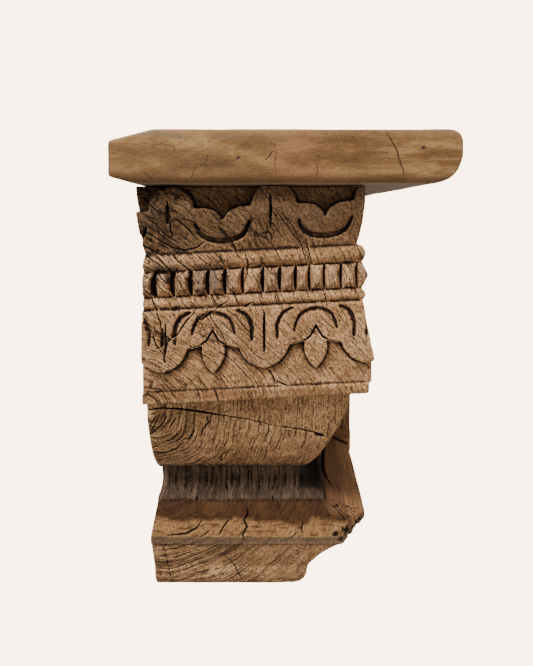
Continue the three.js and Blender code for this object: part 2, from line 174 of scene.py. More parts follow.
# The cracks that show one by one on the front, as points (x, z) in millimetres, with the
# width and the depth of each.
FRONT_CRACKS = {
    "foot": ([(-25, -99.7), (-19.3, -107.2), (-15.4, -116.6), (-10, -126.5)], 0.3, 1.0),
    "crease": (
        [
            (-69, -5.2), (-59, -4), (-49, -4.6), (-39, -5.8),
            (-29.3, -7.5), (-9.6, -11.4), (10, -16.6),
        ],
        0.7,
        1.6,
    ),
    "crease_end": ([(10, -16.6), (23.4, -18.8), (31.3, -21), (38, -23.5)], 0.7, 2.0),
    "lobe_long": ([(-16.4, 64.4), (-22, 59.7), (-27.8, 56), (-34.2, 51), (-38.2, 46.5)], 0.35, 1.3),
    "lobe_short": ([(-4.9, 61), (-9.9, 58), (-14.4, 55.5)], 0.35, 1.2),
    "lobe_left": ([(-37.4, 56.5), (-42.4, 51), (-47.2, 43.7), (-54, 37.8), (-55.2, 26)], 0.4, 1.4),
    "pendant_tail": ([(2, 22.9), (5.2, 20.3), (7.6, 16), (7.9, 12)], 0.35, 1.3),
    "pendant_fork": ([(7.6, 15.7), (11.5, 13.7), (16.3, 12)], 0.35, 1.0),
    "bead_right": ([(22, 98), (24.3, 90.8), (26, 84)], 0.3, 1.0),
    "bead_far_right": ([(26, 97), (27.8, 89.7), (29.5, 82.7)], 0.3, 1.0),
    "lobe_right": ([(35.8, 68), (37.3, 63), (38.4, 58)], 0.3, 1.0),
    "lobe_slit": ([(1.9, 56.5), (1.7, 45), (1.9, 31)], 0.8, 1.6),
    "lobe_slit_left": ([(-55, 49), (-55, 38), (-55.6, 26)], 0.8, 1.6),
    "left_lobe": ([(-68, 70), (-62, 60), (-58, 50), (-57, 44)], 0.35, 1.4),
    "left_lobe_low": ([(-68, 56), (-64, 47), (-60, 36), (-55, 30)], 0.35, 1.4),
    "ring_1": ([(-68.7, -17.0), (-64.9, -11.9), (-63.7, -7.8)], 0.33, 0.72),
    "ring_2": ([(-69.1, -20.4), (-66.9, -19.5), (-63.3, -12.3), (-61.6, -7.8)], 0.33, 0.72),
    "ring_3": ([(-69.1, -23.0), (-63.2, -17.8), (-59.6, -13.6), (-56.5, -7.8)], 0.52, 1.08),
    "ring_4": ([(-56.2, -17.0), (-52.9, -12.3), (-51.3, -9.8)], 0.52, 0.96),
    "ring_5": ([(-59.4, -26.9), (-54.7, -25.6), (-51.0, -20.0)], 0.59, 0.96),
    "ring_6": ([(-68.8, -32.2), (-63.7, -30.4)], 0.33, 0.72),
    "ring_7": ([(-68.8, -39.3), (-61.7, -36.9), (-54.0, -33.1), (-47.9, -27.8)], 0.45, 0.96),
    "ring_8": ([(-67.8, -45.0), (-60.1, -40.8)], 0.33, 0.72),
    "ring_9": ([(-48.7, -25.2), (-45.2, -25.6), (-42.0, -20.8), (-41.0, -17.4)], 0.72, 1.08),
    "ring_10": ([(-32.8, -9.1), (-32.4, -13.6), (-35.9, -18.3), (-37.6, -23.0)], 0.45, 0.84),
    "ring_11": ([(-21.0, -33.5), (-26.1, -39.3), (-27.2, -43.3), (-26.3, -46.8)], 0.45, 0.96),
    "ring_12": ([(-21.0, -25.6), (-25.3, -33.5)], 0.26, 0.6),
    "ring_13": ([(-41.8, -38.3), (-46.6, -42.3), (-50.7, -45.0)], 0.39, 0.72),
    "slope_left": ([(-59.9, -85.1), (-47.4, -84.3), (-41.2, -82.4), (-38.1, -79.4)], 0.39, 0.84),
    "slope_left_b": ([(-38.8, -85.9), (-32.0, -83.0)], 0.29, 0.6),
    "slope_knot": ([(-27.1, -84.9), (-24.6, -82.0), (-21.3, -79.4)], 0.45, 0.84),
    "slope_right": ([(15.4, -87.1), (21.4, -83.8)], 0.26, 0.6),
    "slope_hook": ([(25.3, -80.3), (23.7, -82.4), (24.8, -84.5)], 0.39, 0.84),
    "waist_left": ([(-26.5, -66.1), (-24.2, -70.1)], 0.6, 2.0),
    "waist_far_left": ([(-43.9, -68.2), (-43.4, -73.2)], 0.5, 1.6),
    "waist_right": ([(4.9, -67.9), (6.0, -73.7)], 0.5, 1.6),
    "waist_mid": ([(-4.0, -67.3), (-3.1, -69.7)], 0.4, 1.4),
    "petal_left": ([(-24.7, 104.3), (-22.5, 101.5), (-18.9, 98)], 0.35, 0.8),
    "knot_hole": ([(31.5, -22.3), (34.5, -23), (38, -24.6)], 1.9, 3.0),
    "mitre": ([(28.7, -77), (33, -81.5), (39, -84), (47, -84)], 0.4, 1.0),
    "leaf_left": ([(-53.0, 119.9), (-52.5, 109.5), (-51.0, 97.9)], 0.7, 1.6),
    "leaf_ring_1": ([(-66.1, 110.1), (-59.7, 105.5), (-52.7, 97.9), (-47.0, 94.5)], 0.45, 1.2),
    "leaf_ring_2": ([(-49.8, 110.1), (-42.9, 104.3), (-36.0, 96.2)], 0.4, 1.0),
    "leaf_ring_3": ([(-44.6, 109.5), (-37.7, 106.6), (-32.5, 97.9)], 0.35, 0.9),
    "leaf_edge": (
        [(-67.2, 103.2), (-60.8, 97.9), (-52.2, 92.2), (-44.6, 90.4), (-37.7, 92.2), (-31.3, 96.8)],
        0.5,
        1.2,
    ),
    "bead_1": (
        [(-64.3, 89.3), (-58.5, 85.8), (-54.5, 80.6), (-51.6, 75.9), (-52.2, 69.0)],
        0.45,
        1.1,
    ),
    "bead_2": ([(-51.6, 89.3), (-48.1, 84.6), (-42.3, 79.4), (-40.6, 73.6)], 0.45, 1.1),
    "bead_3": ([(-37.7, 88.7), (-31.3, 82.9)], 0.35, 0.8),
    "bead_4": ([(-23.8, 88.7), (-21.5, 81.7)], 0.35, 0.8),
    "bead_5": ([(-18.0, 96.8), (-13.4, 87.5)], 0.35, 0.8),
    "leaf_top": ([(-70.1, 122.3), (-64.3, 118.2), (-58.5, 113.0), (-53.9, 111.8)], 0.4, 1.0),
    "slope_split": (
        [
            (-11.5, -75.2), (-9.9, -77.4), (-12.2, -79.8),
            (-10.0, -81.9), (-12.2, -84.3), (-11.5, -87.5),
        ],
        0.5,
        2.0,
    ),
    "foot_left": ([(-62, -92), (-61.2, -99.7), (-60.4, -108), (-57.7, -125)], 0.25, 0.5),
    "leaf_middle": ([(5.6, 123), (5.7, 113), (5.6, 104)], 0.9, 1.8),
    "bud_left": (
        [
            (-42.5, 34.2), (-36.2, 35.4), (-31.6, 38.6), (-27.8, 44.6),
            (-24.0, 38.8), (-19.2, 35.8), (-13.0, 34.6),
        ],
        0.75,
        1.5,
    ),
    "bud_right": (
        [
            (17.5, 37.4), (23.8, 38.4), (28.2, 41.4), (31.7, 47.6),
            (35.4, 41.6), (40.0, 38.8), (46.5, 37.8),
        ],
        0.75,
        1.5,
    ),
    "bell_long": ([(6.9, 116.5), (11.5, 110.1), (16.7, 102.6), (23.1, 93.9)], 0.3, 0.8),
    "bell_long_b": ([(9.8, 117.0), (14.4, 110.1), (19.0, 103.2), (26.6, 93.9)], 0.25, 0.6),
    "bell_fork": ([(-1.8, 100.3), (4.6, 100.8), (6.3, 97.9), (5.7, 94.5)], 0.3, 0.7),
    "bell_thin": ([(2.8, 113.0), (6.3, 107.2), (13.2, 97.9)], 0.22, 0.5),
    "petal_seam": ([(-24.4, 105.5), (-20.3, 100.8), (-17.4, 96.2), (-14.5, 92.2)], 0.35, 0.8),
    "jewel_seam": ([(-9.9, 91.0), (-7.6, 84.1), (-8.2, 78.3), (-10.5, 70.2)], 0.35, 0.8),
    "band_seam": ([(-32.5, 59.2), (-28.4, 51.6), (-22.6, 43.5), (-18.0, 33.1)], 0.3, 0.8),
    "band_seam_b": ([(-41.2, 60.3), (-35.4, 51.6), (-31.9, 43.5)], 0.25, 0.7),
}

# On the return below the neck, as points (x, y).
RETURN_CRACKS = {
    "groove": (
        [(48, -26), (44, -50), (42, -70), (40.8, -92), (42.4, -103.6), (45.6, -113)],
        1.5,
        2.5,
    ),
    "corner": ([(45.5, -134), (46.3, -139), (48, -144), (51.5, -149)], 0.9, 3.0),
}


def crack_field(u, v, cracks):
    """Signed distance across the nearest crack, its own half width there, and its depth."""
    nearest = np.full(len(u), 6 * MM)
    side = np.full(len(u), 6 * MM)
    width = np.zeros(len(u))
    sunk = np.zeros(len(u))
    for path, wide, deep in cracks.values():
        legs = list(zip(path[:-1], path[1:]))
        for number, ((u0, v0), (u1, v1)) in enumerate(legs):
            leg = np.array([u1 - u0, v1 - v0]) * MM
            out_u, out_v = u - u0 * MM, v - v0 * MM
            share = np.clip((out_u * leg[0] + out_v * leg[1]) / (leg @ leg), 0, 1)
            away = np.hypot(out_u - share * leg[0], out_v - share * leg[1])
            closer = away < nearest
            nearest = np.where(closer, away, nearest)
            side = np.where(closer, np.sign(leg[0] * out_v - leg[1] * out_u) * away, side)
            along = (number + share) / len(legs)
            tapered = wide * MM * np.sin(np.pi * np.clip(along, 0.001, 0.999)) ** 0.5
            width = np.where(closer, tapered, width)
            sunk = np.where(closer, deep * MM, sunk)
    return side, width * smooth(3 * MM, 1.5 * MM, nearest), sunk


# The jewels are four-sided points cut by eye, so that their widths differ.
JEWEL_CUTS = (
    -71, -61.6, -50.7, -40.3, -30.5, -20.7, -10.4, 1.2,
    11, 20.2, 28.2, 36.9, 46.7, 55.9, 66,
)
JEWEL_FOOT = 65.5 * MM
JEWEL_TOP = 81.1 * MM
JEWEL_SEAT = 12.3 * MM
JEWEL_HEIGHT = 5.2 * MM
GAP_WIDTH = 1.5 * MM
GAP_DEPTH = 1.2 * MM
RIM_BACK = 3 * MM
BAND_RISE = 0.05
BAND_LEVEL_X = -4.6 * MM

WAIST_TOP = -50 * MM
WAIST_FOOT = -70 * MM
BROKEN_X = 44 * MM
BROKEN_Z = (-92 * MM, -76 * MM)
BROKEN_BACK = 62 * MM


def cut_jewels(places, normals):
    """Cuts the middle band's points into jewels, on the front face only."""
    x, y, z = places.T
    level = z - BAND_RISE * (x - BAND_LEVEL_X)
    upright = (level - JEWEL_FOOT) / (JEWEL_TOP - JEWEL_FOOT) * 2 - 1
    cuts = np.array(JEWEL_CUTS) * MM
    number = np.clip(np.searchsorted(cuts, x) - 1, 0, len(cuts) - 2)
    sideways = (x - cuts[number]) / (cuts[number + 1] - cuts[number]) * 2 - 1
    point = np.clip(1.3 * (1 - np.maximum(np.abs(sideways) ** 1.3, np.abs(upright) ** 1.6)), 0, 1)
    widest = GAP_WIDTH * (1 + smooth(20 * MM, -50 * MM, x))
    open_wide = widest * np.clip(1 - upright**2, 0, 1) ** 0.5
    gap = smooth(open_wide, open_wide - 0.8 * MM, cuts[number + 1] - x)
    seat = CORBEL_FRONT - RIM_BACK + JEWEL_SEAT
    wanted = seat - JEWEL_HEIGHT * point * (1 - gap) + GAP_DEPTH * gap
    here = smooth(1, 0.9, np.abs(upright)) * smooth(0.1, 0.4, -normals[:, 1]) * (x < 60 * MM)
    here = here * (y < CORBEL_FRONT + 16 * MM)
    places[:, 1] += here * (wanted - y)


def corbel_relief(places, normals):
    """How far weather has sunk each point, in metres, and how far it lies in a broken hole."""
    x, y, z = places.T
    outer = smooth(-0.1, 0.6, np.maximum(-normals[:, 1], normals[:, 0]))
    arris = smooth(CORBEL_FRONT + 22 * MM, CORBEL_FRONT + 8 * MM, y)
    waves = Grain(61).rough(x / 0.016, y / 0.03, z / 0.016, 3)
    depth = 0.35 * MM * np.maximum(waves, -0.3) * (0.2 + 0.8 * outer)
    rotten = smooth(-20 * MM, -66 * MM, x) * smooth(15 * MM, 60 * MM, z) + 0.25
    chips = np.maximum(Grain(62).rough(x / 0.005, y / 0.012, z / 0.006, 3), 0)
    depth += 1.3 * MM * rotten * chips * np.maximum(outer, arris)
    waist = smooth(WAIST_FOOT - 4 * MM, WAIST_FOOT, z) * smooth(WAIST_TOP + 4 * MM, WAIST_TOP, z)
    torn = Grain(63).rough(x / 0.0022, y / 0.006, z / 0.016, 3)
    depth += waist * outer * MM * (0.7 * np.maximum(torn, -0.2) + 0.2)
    foot_z, top_z = BROKEN_Z
    back_y = CORBEL_FRONT + BROKEN_BACK
    broken = smooth(BROKEN_X - 6 * MM, BROKEN_X + 2 * MM, x) * smooth(foot_z - 3 * MM, foot_z, z)
    broken = broken * smooth(top_z + 4 * MM, top_z - 3 * MM, z)
    broken = broken * smooth(back_y, back_y - 15 * MM, y)
    knots = Grain(64).rough(x / 0.004, y / 0.004, z / 0.004, 2)
    depth += broken * MM * 2.6 * np.maximum(knots, 0)
    return depth, broken * smooth(0.15, 0.45, knots)


def store(piece, name, values):
    """Keeps one number for each vertex, for the piece's material to read."""
    attribute = piece.data.attributes.new(name, "FLOAT", "POINT")
    attribute.data.foreach_set("value", values.astype(np.float32))


def bulge_of(piece, passes):
    """Above 0 on worn ridges and below 0 in hollows, from how a smoothed copy would lie."""
    start = places_of(piece)
    moved = relaxed(start, edges_of(piece), passes) - start
    return -np.einsum("ij,ij->i", moved, normals_of(piece)) / MM


def thinned(piece, most, low, high):
    """Decimates a piece to a number of triangles and keeps it inside its node's box."""
    share = most / (2 * len(piece.data.polygons))
    apply_modifier(piece, "DECIMATE", ratio=min(share, 1), use_collapse_triangulate=True)
    put_places(piece, np.clip(places_of(piece), np.array(low), np.array(high)))
    for face in piece.data.polygons:
        face.use_smooth = True


places = places_of(corbel)
normals = normals_of(corbel)
cut_jewels(places, normals)
put_places(corbel, places)
places = places_of(corbel)
normals = normals_of(corbel)
side, width, sunk = crack_field(places[:, 0], places[:, 2], FRONT_CRACKS)
width = width * smooth(0.1, 0.4, -normals[:, 1])
on_return = (normals[:, 2] > 0.5) & (places[:, 0] > 28 * MM) & (places[:, 2] < -60 * MM)
sides = crack_field(places[:, 0], places[:, 1], RETURN_CRACKS)
side, width, sunk = (np.where(on_return, new, old) for new, old in zip(sides, (side, width, sunk)))
depth, holes = corbel_relief(places, normals)
opened = np.maximum(width, 0.9 * CORBEL_VOXEL * (width > 0.3 * MM))
depth += sunk * smooth(opened + 1e-9, 0.2 * opened, np.abs(side))
put_places(corbel, places - normals * depth[:, None])
store(corbel, "holes", holes)
store(corbel, "crack_side", side / MM)
store(corbel, "crack_width", width / MM)
# Each of these is above 0 on ridges and below 0 in hollows, at its own size; the material paints
# the ridges pale as wear and paints shade into the creases, hollows and deep recesses.
store(corbel, "wear", bulge_of(corbel, 4))
store(corbel, "hollow", bulge_of(corbel, 40))
store(corbel, "deep", bulge_of(corbel, 160))
thinned(corbel, CORBEL_TRIANGLES, corbel_low, corbel_high)


class Value:
    """A node socket that takes part in Python arithmetic."""

    def __init__(self, nodes, socket):
        self.nodes = nodes
        self.socket = socket

    def _math(self, operation, *values):
        return self.nodes.add("ShaderNodeMath", {"operation": operation}, dict(enumerate(values)))

    def __add__(self, other):
        return self._math("ADD", self, other)

    def __radd__(self, other):
        return self._math("ADD", other, self)

    def __sub__(self, other):
        return self._math("SUBTRACT", self, other)

    def __rsub__(self, other):
        return self._math("SUBTRACT", other, self)

    def __mul__(self, other):
        return self._math("MULTIPLY", self, other)

    def __rmul__(self, other):
        return self._math("MULTIPLY", other, self)

    def __truediv__(self, other):
        return self._math("DIVIDE", self, other)

    def __pow__(self, other):
        return self._math("POWER", self, other)

    def clamp(self):
        return self._math("MAXIMUM", self._math("MINIMUM", self, 1.0), 0.0)

    def between(self, low, high):
        """0 below low, 1 above high and smooth in between; low may be the larger."""
        if low > high:
            return 1 - self.between(high, low)
        settings = {"interpolation_type": "SMOOTHSTEP"}
        return self.nodes.add("ShaderNodeMapRange", settings, {0: self, 1: low, 2: high})


class Material:
    """A new Principled material and a way to add nodes to it."""

    def __init__(self, name, roughness, sheen=0.5):
        self.material = bpy.data.materials.new(name)
        self.material.use_nodes = True
        self.tree = self.material.node_tree
        self.shader = self.tree.nodes["Principled BSDF"]
        self.shader.inputs["Roughness"].default_value = roughness
        self.shader.inputs["Specular IOR Level"].default_value = sheen

    def add(self, kind, settings=None, sockets=None, out=0):
        node = self.tree.nodes.new(kind)
        for key, value in (settings or {}).items():
            if key == "stops":
                self._stops(node, value)
            else:
                setattr(node, key, value)
        for key, value in (sockets or {}).items():
            self.feed(node.inputs[key], value)
        return Value(self, node.outputs[out])

    @staticmethod
    def _stops(node, stops):
        ramp = node.color_ramp
        while len(ramp.elements) < len(stops):
            ramp.elements.new(0.5)
        for element, (at, colour) in zip(ramp.elements, stops):
            element.position = at
            element.color = (*colour, 1)

    def feed(self, socket, value):
        if isinstance(value, Value):
            self.tree.links.new(value.socket, socket)
        elif isinstance(value, tuple) and len(value) == 3 and socket.type == "RGBA":
            socket.default_value = (*value, 1)
        else:
            socket.default_value = value

    def set(self, name, value):
        self.feed(self.shader.inputs[name], value)

    def attribute(self, name):
        return self.add("ShaderNodeAttribute", {"attribute_name": name}, out="Fac")

    def place(self, scale, shift=(0, 0, 0)):
        """Object coordinates, scaled by axis."""
        at = self.add("ShaderNodeTexCoord", out="Object")
        return self.add("ShaderNodeMapping", {}, {"Vector": at, "Scale": scale, "Location": shift})

    def noise(self, scale, detail=4.0, roughness=0.55, shift=(0, 0, 0)):
        sockets = {"Vector": self.place(scale, shift), "Scale": 1.0, "Detail": detail}
        return self.add("ShaderNodeTexNoise", {}, sockets | {"Roughness": roughness})

    def mix(self, factor, first, second):
        sockets = {"Factor": factor, 6: first, 7: second}
        return self.add("ShaderNodeMix", {"data_type": "RGBA"}, sockets, out=2)

    def bump(self, strength, distance, height):
        sockets = {"Strength": strength, "Distance": distance, "Height": height}
        self.set("Normal", self.add("ShaderNodeBump", {}, sockets, out="Normal"))

    def named_cracks(self):
        """Where one of the piece's own cracks is open, from its crack attributes."""
        wobble = 0.5 * (self.noise((700, 60, 700), 2, 0.6, shift=(2, 2, 5)) - 0.5)
        off_line = self.attribute("crack_side") + wobble
        away = self.add("ShaderNodeMath", {"operation": "ABSOLUTE"}, {0: off_line})
        width = self.attribute("crack_width")
        return (away / (width + 0.01)).between(1, 0.5) * width.between(0.05, 0.15)


def corbel_wood():
    """Dry old wood: brown with ash-grey patches, dark in cracks, pale on edges, with painted shade
    in hollows, creases, under the shelf and beside the neck.
    """
    wood = Material("corbel_wood", 0.8, 0.2)
    at = wood.add("ShaderNodeTexCoord", out="Object")
    x, y, z = (wood.add("ShaderNodeSeparateXYZ", {}, {"Vector": at}, out=axis) for axis in "XYZ")
    off_back = y.between(-1 * MM, -3 * MM)
    wear = wood.attribute("wear")
    hollow = wood.attribute("hollow")
    deep = wood.attribute("deep")

    pith = PITH_X + PITH_LEAN * z.between(PITH_LEAN_FROM, PITH_LEAN_TO)
    across = x - pith
    upward = RING_FLATTEN * (z - PITH_Z)
    waver = wood.noise((34, 12, 34), 3, 0.5) - 0.5
    jitter = wood.noise((170, 40, 170), 3, 0.6, shift=(5, 2, 1)) - 0.5
    radius = (across * across + upward * upward) ** 0.5 + 9 * MM * waver
    angle = wood.add("ShaderNodeMath", {"operation": "ARCTAN2"}, {0: upward, 1: across})
    round_way = angle * radius
    toward_left = x.between(45 * MM, -55 * MM)

    def ring_noise(out_step, round_step, detail=3.0, roughness=0.6, shift=0.0):
        """Noise stretched along the growth rings, with its sizes in metres."""
        place = {"X": radius / out_step, "Y": y / 0.06 + shift, "Z": round_way / round_step}
        vector = wood.add("ShaderNodeCombineXYZ", {}, place)
        sockets = {"Vector": vector, "Scale": 1.0, "Detail": detail, "Roughness": roughness}
        return wood.add("ShaderNodeTexNoise", {}, sockets)

    def ring_cracks(step, width, length, cover, seed):
        """Dark lines along every ring of one spacing, each open only in parts."""
        turn = (radius + 1.5 * MM * jitter) / step + seed
        ring = wood.add("ShaderNodeMath", {"operation": "ROUND"}, {0: turn})
        away = wood.add("ShaderNodeMath", {"operation": "ABSOLUTE"}, {0: turn - ring}) * step
        along = {"X": round_way / length, "Y": y / 0.06, "Z": ring * 0.77 + seed}
        vector = wood.add("ShaderNodeCombineXYZ", {}, along)
        sockets = {"Vector": vector, "Scale": 1.0, "Detail": 3.0, "Roughness": 0.65}
        open_here = (wood.add("ShaderNodeTexNoise", {}, sockets) - cover).between(0, 0.12)
        wide = width * (0.25 + 0.75 * open_here)
        return open_here * (away / wide).between(1, 0.35)

    def net_cracks(size, width, cover, seed):
        """A net of dark cracks round cells drawn out along the rings."""
        place = {"X": radius / size + jitter, "Y": y / 0.05 + seed, "Z": round_way / (2.6 * size)}
        vector = wood.add("ShaderNodeCombineXYZ", {}, place)
        settings = {"feature": "DISTANCE_TO_EDGE"}
        edge = wood.add("ShaderNodeTexVoronoi", settings, {"Vector": vector, "Scale": 1.0})
        open_here = (ring_noise(3.5 * size, 5 * size, shift=seed) - cover).between(0, 0.1)
        return (edge * size / width).between(1, 0.3) * open_here

    named = wood.named_cracks()

    near_pith = radius.between(36 * MM, 18 * MM) * z.between(0, -8 * MM)
    cover = 0.54 - 0.08 * toward_left - 0.06 * near_pith + 0.04 * (1 - off_back)
    cracks = ring_cracks(4.7 * MM, 0.42 * MM, 15 * MM, cover, 0.3)
    checks = ring_cracks(2.3 * MM, 0.26 * MM, 9 * MM, cover - 0.01, 3.1)
    fine = ring_cracks(3.3 * MM, 0.22 * MM, 8 * MM, 0.44, 5.7)
    net = net_cracks(4.2 * MM, 0.3 * MM, cover + 0.04 + 0.6 * z.between(12 * MM, 0), 2.0)
    torn = wood.noise((900, 50, 60), 3, 0.7, shift=(2, 6, 4))
    ragged = z + 9 * MM * (torn - 0.5)
    in_waist = ragged.between(-73 * MM, -70 * MM) * z.between(-46 * MM, -54 * MM) * off_back
    plain = z.between(-64 * MM, -70 * MM) * z.between(-92 * MM, -88 * MM)
    holes = wood.attribute("holes")
    whole = (1 - cracks) * (1 - 0.8 * checks) * (1 - 0.85 * net) * (1 - 0.8 * fine)
    split = (1 - whole) * (1 - in_waist) * (1 - 0.75 * plain)
    split = (1 - (1 - split) * (1 - 0.85 * holes) * (1 - named)).clamp()

    rings = ring_noise(1.4 * MM, 50 * MM, 2, 0.6)
    dashes = ring_noise(0.6 * MM, 1.8 * MM, 2, 0.65, shift=4.0)
    upright = wood.noise((1600, 60, 700), 2, 0.65, shift=(1, 4, 2))
    specks = wood.noise((1500, 1500, 1500), 2, 0.6, shift=(7, 3, 2))
    wrinkles = wood.noise((120, 40, 900), 3, 0.6, shift=(4, 4, 1))
    rotted = wood.noise((210, 40, 80), 4, 0.65, shift=(9, 3, 6))
    tone = wood.noise((60, 16, 60), 5, 0.6)
    grey = wood.noise((30, 12, 30), 4, 0.6, shift=(3, 1, 7))
    stops = [(0.3, (0.25, 0.118, 0.045)), (0.5, (0.57, 0.3, 0.135)), (0.7, (0.86, 0.51, 0.26))]
    shade = {"Fac": tone * 0.6 + rings * 0.4}
    base = wood.add("ShaderNodeValToRGB", {"stops": stops}, shade)
    base = wood.mix(grey.between(0.52, 0.7) * 0.4, base, (0.17, 0.12, 0.085))
    on_foot = z.between(-88 * MM, -93 * MM)
    ring_lines = x.between(10 * MM, -40 * MM) * z.between(8 * MM, -2 * MM) * 0.5 + 0.45 * on_foot
    base = wood.mix(ring_lines.clamp() * rings.between(0.48, 0.36), base, (0.07, 0.03, 0.011))
    base = wood.mix(wear.between(0.03, 0.2) * 0.45, base, (0.8, 0.47, 0.22))
    base = wood.mix(dashes.between(0.51, 0.64) * 0.7, base, (0.055, 0.023, 0.009))
    base = wood.mix(upright.between(0.52, 0.64) * 0.6, base, (0.055, 0.023, 0.009))
    base = wood.mix(specks.between(0.46, 0.34) * 0.5, base, (0.85, 0.48, 0.2))
    base = wood.mix(specks.between(0.55, 0.66) * 0.75, base, (0.05, 0.021, 0.008))
    in_jewels = z.between(JEWEL_FOOT, JEWEL_FOOT + 3 * MM)
    in_jewels = in_jewels * z.between(JEWEL_TOP + 3 * MM, JEWEL_TOP)
    greyed = in_jewels * (grey * 0.5 + specks * 0.5).between(0.44, 0.56)
    base = wood.mix(greyed * 0.6, base, (0.14, 0.105, 0.085))
    on_fillet = z.between(3 * MM, 6 * MM) * z.between(13 * MM, 9 * MM)
    base = wood.mix(on_fillet * 0.55, base, (0.2, 0.09, 0.032))
    on_slope = z.between(-77 * MM, -80 * MM) * z.between(-90 * MM, -87 * MM)
    base = wood.mix(on_slope * 0.68, base, (0.24, 0.12, 0.042))
    upper_left = x.between(-30 * MM, -60 * MM) * z.between(84 * MM, 94 * MM)
    base = wood.mix(upper_left * 0.25, base, (0.05, 0.022, 0.009))
    base = wood.mix(upper_left * rotted.between(0.47, 0.58) * 0.55, base, (0.04, 0.024, 0.014))
    # Painted shade of the shelf plank, with grime: the top of the corbel under it is painted
    # darker.
    shelf_shade_and_grime = z.between(CORBEL_TOP - 50 * MM, CORBEL_TOP - 20 * MM) * off_back
    base = wood.mix(shelf_shade_and_grime * 0.68, base, (0.035, 0.017, 0.007))
    in_cove = (z + 9 * MM * (tone - 0.5)).between(-81.5 * MM, -79 * MM) * off_back
    in_cove = in_cove * z.between(-66 * MM, -71 * MM)
    base = wood.mix(in_cove * 0.94, base, (0.042, 0.014, 0.003))
    base = wood.mix(in_cove * tone.between(0.52, 0.68) * 0.5, base, (0.12, 0.05, 0.014))
    base = wood.mix(on_slope * wrinkles.between(0.52, 0.62) * 0.7, base, (0.05, 0.02, 0.007))
    base = wood.mix(in_waist * 0.88, base, (0.085, 0.056, 0.038))
    base = wood.mix(in_waist * torn.between(0.5, 0.66) * 0.45, base, (0.24, 0.165, 0.11))
    base = wood.mix(in_waist * torn.between(0.46, 0.34) * 0.7, base, (0.014, 0.009, 0.006))
    base = wood.mix(in_waist * rotted.between(0.5, 0.6) * 0.6, base, (0.03, 0.017, 0.009))
    base = wood.mix(in_waist * rotted.between(0.44, 0.36) * 0.5, base, (0.2, 0.115, 0.06))
    in_quirk = z.between(-91 * MM, -90.3 * MM) * z.between(-85.5 * MM, -86.3 * MM) * off_back
    base = wood.mix(in_quirk * 0.7, base, (0.1, 0.068, 0.045))
    # Painted shade: the deep corner beside the neck, where the return lies in shadow, is painted
    # near-black.
    shade_beside_neck = x.between(21 * MM, 24 * MM) * x.between(43 * MM, 35 * MM) * off_back
    shade_beside_neck = shade_beside_neck * z.between(-78 * MM, -72 * MM) * z.between(-40 * MM, -48 * MM)
    shade_beside_neck = shade_beside_neck * y.between(-134 * MM, -127 * MM)
    base = wood.mix(shade_beside_neck * 0.93, base, (0.012, 0.006, 0.003))
    on_return = x.between(38 * MM, 44 * MM) * y.between(-150 * MM, -140 * MM)
    on_return = on_return * z.between(-30 * MM, -60 * MM)
    base = wood.mix(on_return * 0.3, base, (0.6, 0.3, 0.14))
    # Painted shade: the carving's hollows and deep recesses are painted darker.
    base = wood.mix(hollow.between(-0.1, -0.8) * 0.65, base, (0.03, 0.013, 0.005))
    base = wood.mix(deep.between(-0.35, -2.4) * 0.62, base, (0.03, 0.013, 0.005))
    # Painted shade: the sharp creases along the carving's edges are painted near-black.
    base = wood.mix(wear.between(-0.012, -0.09) * 0.93, base, (0.012, 0.005, 0.002))
    base = wood.mix(split * 0.95, base, (0.008, 0.004, 0.002))
    wood.set("Base Color", base)
    wood.set("Roughness", (0.66 + 0.25 * tone + 0.15 * split).clamp())
    height = 0.4 * rings + 0.4 * wood.noise((300, 60, 300), 4) - 1.8 * split
    height = height - 0.5 * dashes.between(0.5, 0.7) - 0.4 * upright.between(0.52, 0.7)
    wood.bump(1.0, 0.7 * MM, height - 0.5 * specks)
    return wood.material


corbel.data.materials.clear()
corbel.data.materials.append(corbel_wood())
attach(corbel, "root")
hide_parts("corbel")

# The shelf is one short old plank, its end bevelled on the left and rounded on the right. It
# is planed and waxed, so it is smoother than the corbel, with a few drying cracks.
BOARD_VOXEL = 0.9 * MM
BOARD_TRIANGLES = 120000
board_low, board_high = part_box("shelf_board")
BOARD_TOP = board_high.z
BOARD_FOOT = board_low.z
BOARD_LEFT = board_low.x
BOARD_CRACKS = {
    "right": (
        [(69.0, 157.9), (72.7, 152.0), (75.8, 146.9), (77.7, 139.5), (79.5, 135.8), (79.1, 130.7)],
        0.45,
        0.6,
    ),
    "middle": ([(31.4, 140.4), (31.9, 135.8), (31.3, 130.3)], 0.3, 0.25),
    "left_middle": ([(7.9, 152.4), (9.3, 145.2), (8.3, 139.7), (9.0, 133.1)], 0.24, 0.25),
    "left": ([(-28.4, 145.2), (-29.3, 140.3), (-32.8, 137.5)], 0.3, 0.3),
    "left_low": ([(-34.7, 137.7), (-36.7, 134.7), (-37.5, 130.3)], 0.3, 0.3),
    "far_left": (
        [(-62.0, 149.1), (-53.8, 150.2), (-48.8, 149.1), (-46.6, 148.0), (-47.7, 145.2)],
        0.24,
        0.2,
    ),
    "far_left_low": ([(-67.0, 135.8), (-61.5, 133.1), (-58.7, 129.8)], 0.28, 0.25),
    "knot_left": ([(-12.8, 142.4), (-11, 142.6)], 1.2, 0.2),
    "knot_right": ([(89.2, 148), (91.6, 148.2)], 1.4, 0.3),
}
board = copy_of_node("shelf_board", "shelf_plank")
apply_modifier(board, "REMESH", mode="VOXEL", voxel_size=BOARD_VOXEL, adaptivity=0)
places = relaxed(places_of(board), edges_of(board), 10)
put_places(board, places)
normals = normals_of(board)
x, y, z = places.T
dents = Grain(71).rough(x / 0.02, y / 0.03, z / 0.012, 3)
dents = dents + 0.5 * Grain(72)(x / 0.05, y / 0.08, z / 0.03)
depth = np.maximum(0.5 * MM * dents, 0)
side, width, sunk = crack_field(x, z, BOARD_CRACKS)
